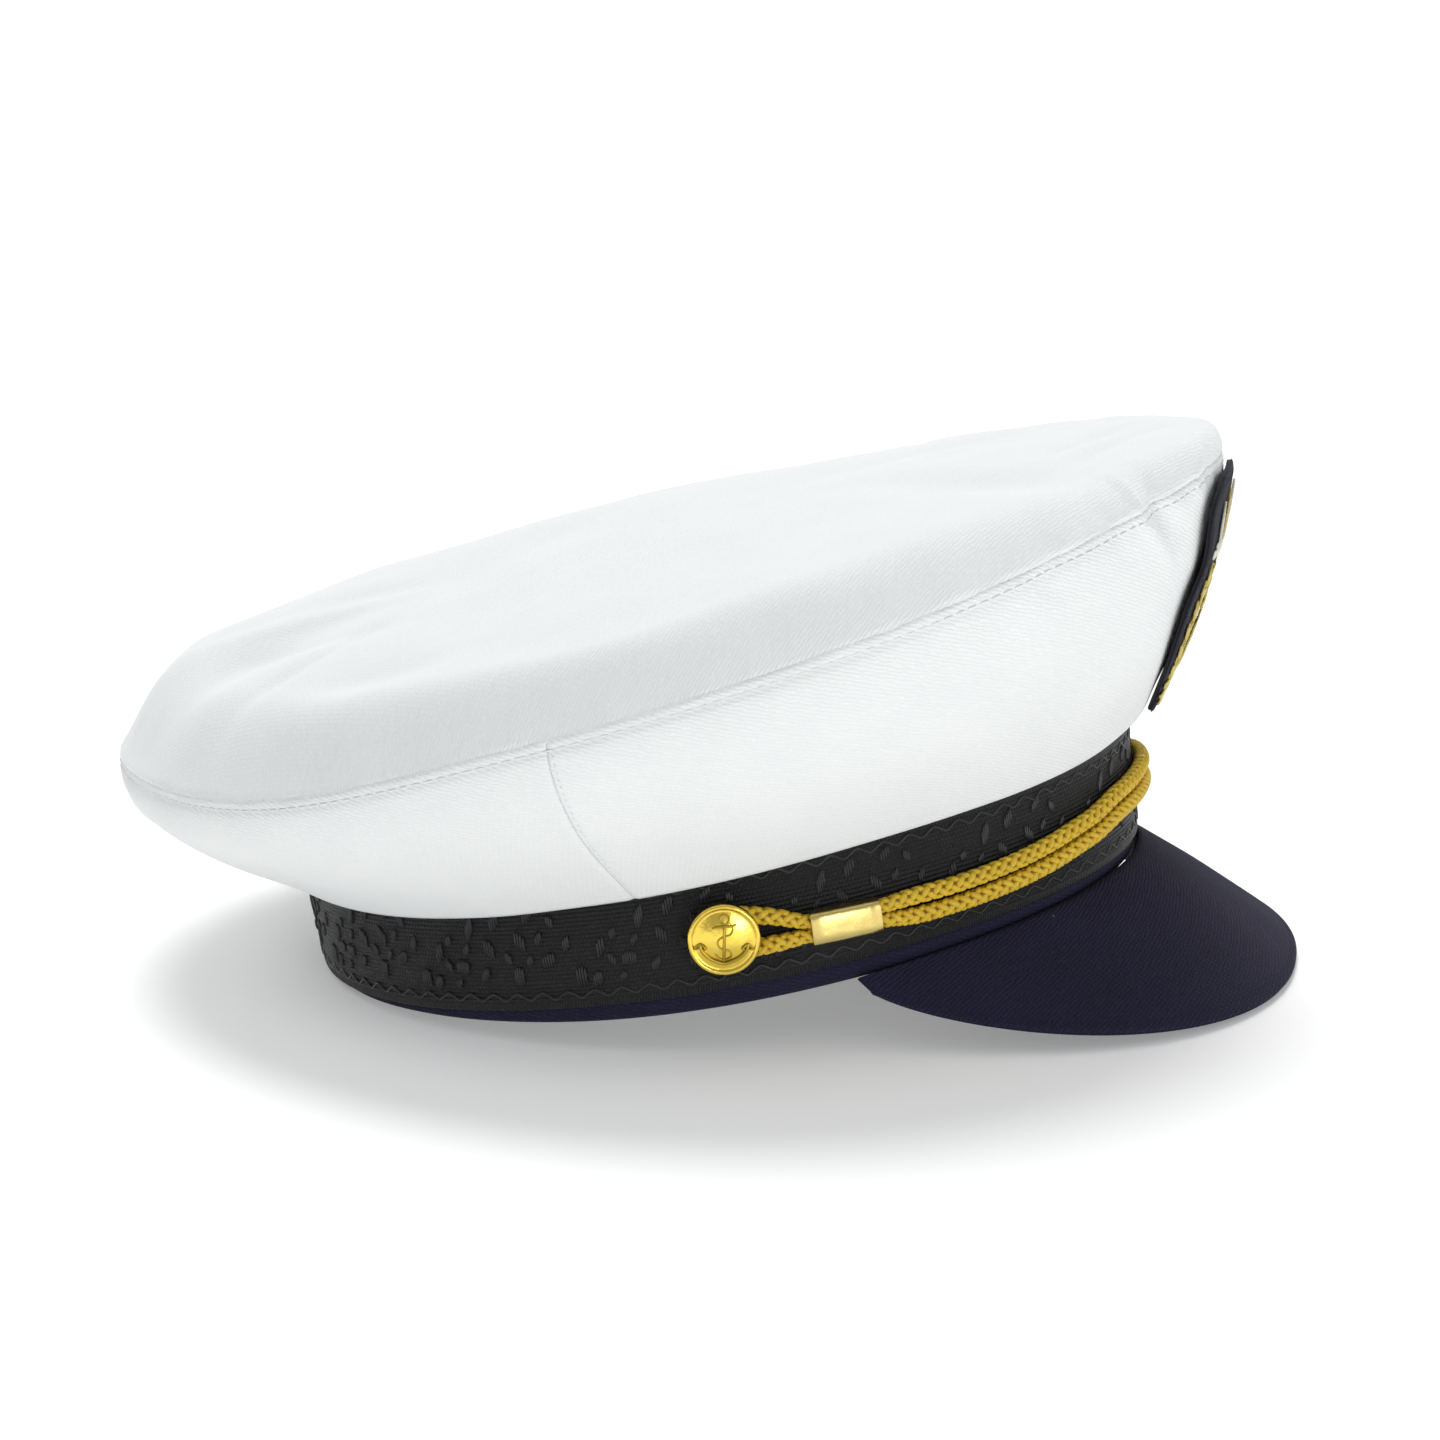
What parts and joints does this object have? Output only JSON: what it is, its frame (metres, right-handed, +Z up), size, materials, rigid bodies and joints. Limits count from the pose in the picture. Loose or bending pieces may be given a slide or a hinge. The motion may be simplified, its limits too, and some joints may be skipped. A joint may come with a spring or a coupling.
{
  "type": "captain hat",
  "caption": "Peaked captain hat with a domed twill crown, woven band, sloping cloth visor, looped gold chin cord on anchor buttons and an embroidered front badge",
  "frame": {"origin": "centre of the footprint of the whole hat, on the surface it rests on", "axes": "+Z up as the hat rests on its rear rim and visor tip; the front faces -Y; the wearer's left is +X"},
  "size_m": [0.2424, 0.2868, 0.1294],
  "materials": {
    "white_twill": "bright white fine twill, matte, softly creased",
    "navy_cloth": "dark indigo navy twill, matte",
    "black_ribbon": "black woven jacquard ribbon, fine ribs with satin leaves",
    "gold_cord": "yellow-gold braided cord, soft sheen",
    "pale_brass": "pale satin brass",
    "gilt_button": "bright gilt, lightly worn",
    "badge_felt": "dark navy felt, matte",
    "gold_thread": "metallic gold embroidery thread",
    "silver_thread": "silver-white embroidery thread"
  },
  "bodies": {
    "root": {"under_band": "navy_cloth", "ribbon_band": "black_ribbon", "crown_top": "white_twill", "crown_front_right": "white_twill", "crown_front_left": "white_twill", "crown_back_left": "white_twill", "crown_back_right": "white_twill", "visor": "navy_cloth", "chin_cord": "gold_cord", "cord_sleeve_right": "pale_brass", "cord_sleeve_left": "pale_brass", "button_right": "gilt_button", "button_left": "gilt_button", "badge_backing": "badge_felt", "badge_anchor": "gold_thread", "badge_wreath": "gold_thread", "badge_crest": "silver_thread"}
  },
  "joints": []
}
